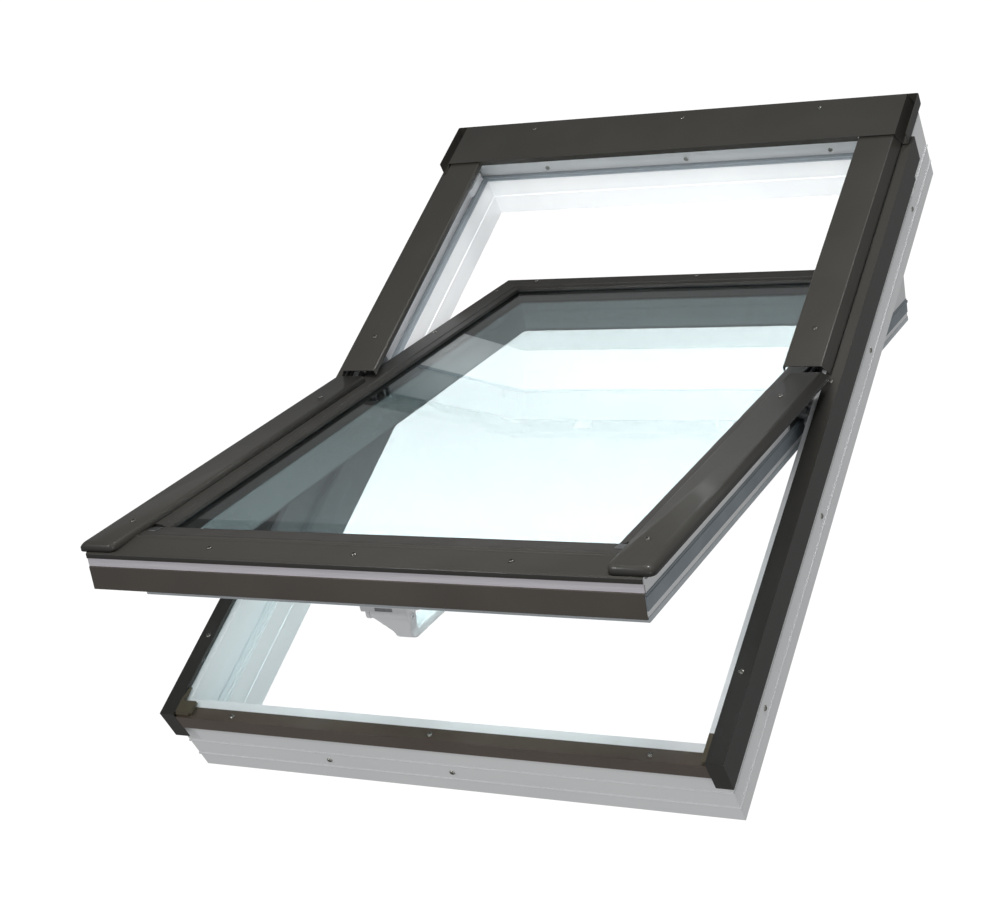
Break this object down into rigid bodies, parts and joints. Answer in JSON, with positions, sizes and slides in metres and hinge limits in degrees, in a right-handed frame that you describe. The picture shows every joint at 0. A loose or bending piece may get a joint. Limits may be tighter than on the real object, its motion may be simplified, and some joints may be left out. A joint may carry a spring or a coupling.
{
  "type": "centre-pivot roof window",
  "caption": "Centre-pivot roof skylight with white plastic frame and double-glazed sash, dark metal cladding and covers, shown open on its side hinges, with a handle that drives a latch.",
  "frame": {"origin": "middle of the frame's opening, on the plane of its room-side edge", "axes": "+X across the window, +Y up the roof slope, +Z outwards through the roof"},
  "size_m": [0.796, 1.1972, 0.5901],
  "materials": {
    "white_upvc": "smooth white uPVC, slight gloss",
    "white_moulding": "smooth white moulding",
    "grey_seal": "grey-green soft seal",
    "black_seal": "black glazing seal",
    "dark_aluminium": "satin umber-grey powder coat",
    "dark_plastic": "satin umber-grey plastic",
    "bare_aluminium": "plain anodised",
    "zinc_steel": "zinc-plated",
    "screw_steel": "zinc-plated",
    "glass": "clear double glazing"
  },
  "bodies": {
    "frame": {"frame_jamb_left": "white_upvc", "frame_jamb_right": "white_upvc", "frame_head": "white_upvc", "frame_sill": "white_upvc", "frame_steel_bars": "zinc_steel", "frame_gasket": "grey_seal", "groove_strip_left": "grey_seal", "groove_strip_right": "grey_seal", "groove_block_left": "white_moulding", "groove_block_right": "white_moulding", "side_cladding_left": "dark_aluminium", "side_cladding_right": "dark_aluminium", "sill_cladding": "dark_aluminium", "corner_block_left": "dark_plastic", "corner_block_right": "dark_plastic", "head_cladding": "dark_aluminium", "upper_cover_left": "dark_aluminium", "upper_cover_right": "dark_aluminium", "upper_cover_brackets": "white_moulding", "head_cover": "dark_aluminium", "head_cover_blocks": "white_moulding", "frame_hinge_left": "zinc_steel", "frame_hinge_right": "zinc_steel", "frame_screws": "screw_steel", "cladding_screws": "screw_steel", "cover_screws": "screw_steel", "frame_inner_screws": "screw_steel", "latch_keep": "zinc_steel"},
    "sash": {"sash_stile_left": "white_upvc", "sash_stile_right": "white_upvc", "sash_top_rail": "white_upvc", "sash_bottom_rail": "white_upvc", "sash_steel_bars": "zinc_steel", "sash_gasket": "grey_seal", "sash_edge_seal": "grey_seal", "outer_pane": "glass", "inner_pane": "glass", "glass_spacer": "bare_aluminium", "glass_bed_seal": "black_seal", "glass_top_seal": "black_seal", "side_bead_left": "dark_plastic", "side_bead_right": "dark_plastic", "top_bead": "dark_plastic", "bottom_bead": "dark_plastic", "bead_clips": "zinc_steel", "side_cover_left": "dark_aluminium", "side_cover_right": "dark_aluminium", "side_cover_brackets": "zinc_steel", "bottom_cover": "dark_aluminium", "silver_strip": "bare_aluminium", "fascia": "dark_aluminium", "sash_hinge_left": "zinc_steel", "sash_hinge_right": "zinc_steel", "sash_screws": "screw_steel", "sash_hinge_screws": "screw_steel", "handle_base": "white_moulding", "handle_screws": "screw_steel"},
    "handle_lever": {"handle_lever": "white_moulding"},
    "latch": {"latch_bolt": "zinc_steel"}
  },
  "joints": [
    {"name": "sash_pivot", "type": "hinge", "parent": "frame", "child": "sash", "pos_m": [0, 0.03, 0.1665], "axis": [-1, 0, 0], "range_deg": [-26, 79]},
    {"name": "handle_turn", "type": "hinge", "parent": "sash", "child": "handle_lever", "pos_m": [0, -0.53044, 0.28575], "axis": [1, 0, 0], "range_deg": [0, 20]},
    {"name": "latch_slide", "type": "slide", "parent": "sash", "child": "latch", "axis": [0, -0.8988, 0.4384], "range_m": [0, 0.01]}
  ],
  "couplings": [
    {"joint": "latch_slide", "follows": "handle_turn", "m_per_rad": 0.0286}
  ]
}
